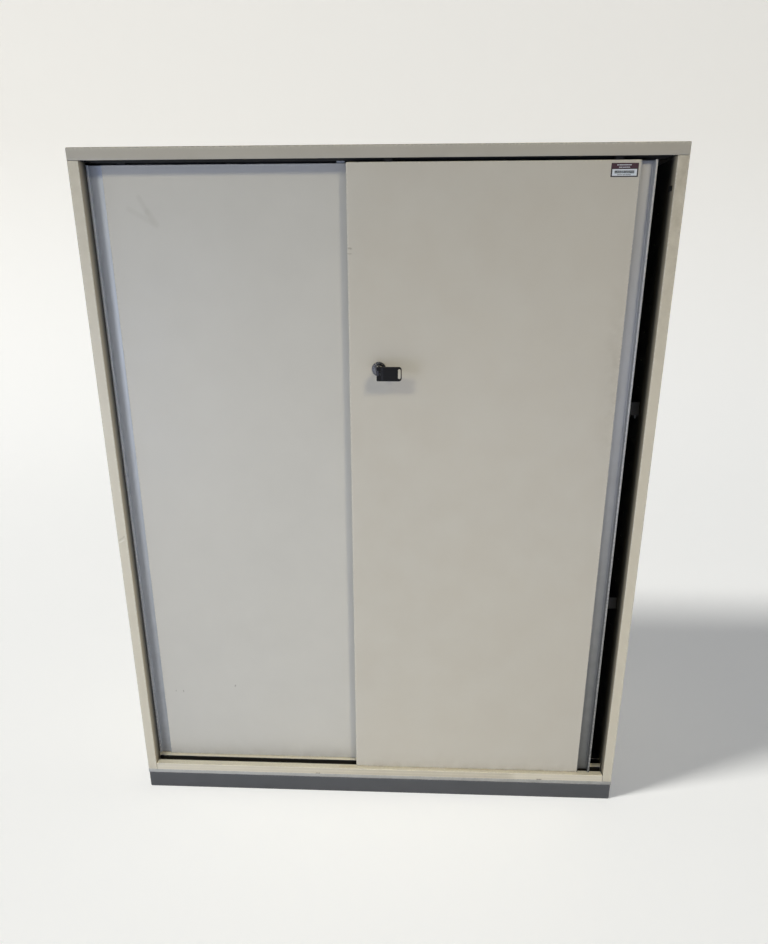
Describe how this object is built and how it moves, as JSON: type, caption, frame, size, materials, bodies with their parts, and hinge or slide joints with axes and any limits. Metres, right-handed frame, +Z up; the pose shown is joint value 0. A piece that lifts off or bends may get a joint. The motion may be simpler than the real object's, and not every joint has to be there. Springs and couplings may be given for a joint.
{
  "type": "sliding door cabinet",
  "caption": "Sheet-steel cupboard with two bypassing doors on floor wheels, recessed grip channels, a push lock with a folding key, shelves and a dark plinth.",
  "frame": {"origin": "centre of the footprint, on the floor", "axes": "+X to the right as seen from the front, +Y into the cabinet, away from the doors, +Z up"},
  "size_m": [1, 0.4632, 1.276],
  "materials": {
    "carcass_paint": "satin cream beige enamel",
    "door_paint": "satin light grey-beige enamel",
    "grip_paint": "satin blue-grey enamel",
    "pan_paint": "satin light blue-grey enamel",
    "plinth_paint": "satin dark grey enamel",
    "track_black": "matt black",
    "galvanised": "zinc plated",
    "bright_steel": "plain steel",
    "dark_steel": "blackened steel",
    "nickel": "satin nickel plate",
    "nylon": "natural nylon",
    "key_plastic": "black, lightly polished",
    "rubber": "matt black",
    "label_film": "printed film"
  },
  "bodies": {
    "carcass": {"back_panel": "carcass_paint", "base_pan": "pan_paint", "bottom_panel": "carcass_paint", "bottom_rail": "carcass_paint", "front_track_insert": "track_black", "left_bumper": "rubber", "left_side_liner": "carcass_paint", "left_side_panel": "carcass_paint", "lower_shelf": "carcass_paint", "plinth": "plinth_paint", "rear_track_insert": "track_black", "right_bumper": "rubber", "right_side_liner": "carcass_paint", "right_side_panel": "carcass_paint", "shelf_clips": "galvanised", "top_panel": "carcass_paint", "top_track": "track_black", "upper_shelf": "carcass_paint"},
    "front_door": {"asset_label": "label_film", "front_bracket_screws": "bright_steel", "front_door_back": "door_paint", "front_door_grip": "grip_paint", "front_door_skin": "door_paint", "front_door_stiffener": "galvanised", "front_inner_guide": "track_black", "front_outer_guide": "track_black", "front_roller_axles": "bright_steel", "front_roller_brackets": "galvanised", "lock_housing": "nickel", "lock_nut": "galvanised"},
    "rear_door": {"lock_strike": "galvanised", "rear_bracket_screws": "bright_steel", "rear_door_back": "door_paint", "rear_door_grip": "grip_paint", "rear_door_skin": "door_paint", "rear_door_stiffener": "galvanised", "rear_inner_guide": "nylon", "rear_outer_guide": "track_black", "rear_roller_axles": "bright_steel", "rear_roller_brackets": "galvanised", "strike_screws": "bright_steel"},
    "front_outer_wheel": {"front_outer_wheel": "nylon"},
    "front_inner_wheel": {"front_inner_wheel": "nylon"},
    "rear_outer_wheel": {"rear_outer_wheel": "nylon"},
    "rear_inner_wheel": {"rear_inner_wheel": "nylon"},
    "lock_barrel": {"lock_barrel": "nickel", "lock_bolt": "bright_steel"},
    "lock_plug": {"lock_plug": "nickel", "key_blade": "dark_steel"},
    "key_head": {"key_head": "key_plastic", "key_pin": "dark_steel"}
  },
  "joints": [
    {"name": "front_door_slide", "type": "slide", "parent": "carcass", "child": "front_door", "axis": [1, 0, 0], "range_m": [-0.436, 0.0255]},
    {"name": "rear_door_slide", "type": "slide", "parent": "carcass", "child": "rear_door", "axis": [1, 0, 0], "range_m": [0, 0.463]},
    {"name": "front_outer_wheel_spin", "type": "hinge", "parent": "front_door", "child": "front_outer_wheel", "pos_m": [0.384, -0.19585, 0.0638], "axis": [0, 1, 0], "continuous": true},
    {"name": "front_inner_wheel_spin", "type": "hinge", "parent": "front_door", "child": "front_inner_wheel", "pos_m": [0.026, -0.19585, 0.0638], "axis": [0, 1, 0], "continuous": true},
    {"name": "rear_outer_wheel_spin", "type": "hinge", "parent": "rear_door", "child": "rear_outer_wheel", "pos_m": [-0.4145, -0.17195, 0.0638], "axis": [0, 1, 0], "continuous": true},
    {"name": "rear_inner_wheel_spin", "type": "hinge", "parent": "rear_door", "child": "rear_inner_wheel", "pos_m": [-0.0565, -0.17195, 0.0638], "axis": [0, 1, 0], "continuous": true},
    {"name": "lock_push", "type": "slide", "parent": "front_door", "child": "lock_barrel", "axis": [0, 1, 0], "range_m": [0, 0.006], "stiffness_N_per_m": 300},
    {"name": "key_turn", "type": "hinge", "parent": "lock_barrel", "child": "lock_plug", "pos_m": [0.0085, -0.2075, 0.918], "axis": [0, 1, 0], "range_deg": [0, 90]},
    {"name": "key_fold", "type": "hinge", "parent": "lock_plug", "child": "key_head", "pos_m": [0.0085, -0.245, 0.918], "axis": [0, 0, 1], "range_deg": [-180, 0]}
  ],
  "couplings": [
    {"joint": "front_outer_wheel_spin", "follows": "front_door_slide", "rad_per_m": 83.333},
    {"joint": "front_inner_wheel_spin", "follows": "front_door_slide", "rad_per_m": 83.333},
    {"joint": "rear_outer_wheel_spin", "follows": "rear_door_slide", "rad_per_m": 83.333},
    {"joint": "rear_inner_wheel_spin", "follows": "rear_door_slide", "rad_per_m": 83.333}
  ]
}
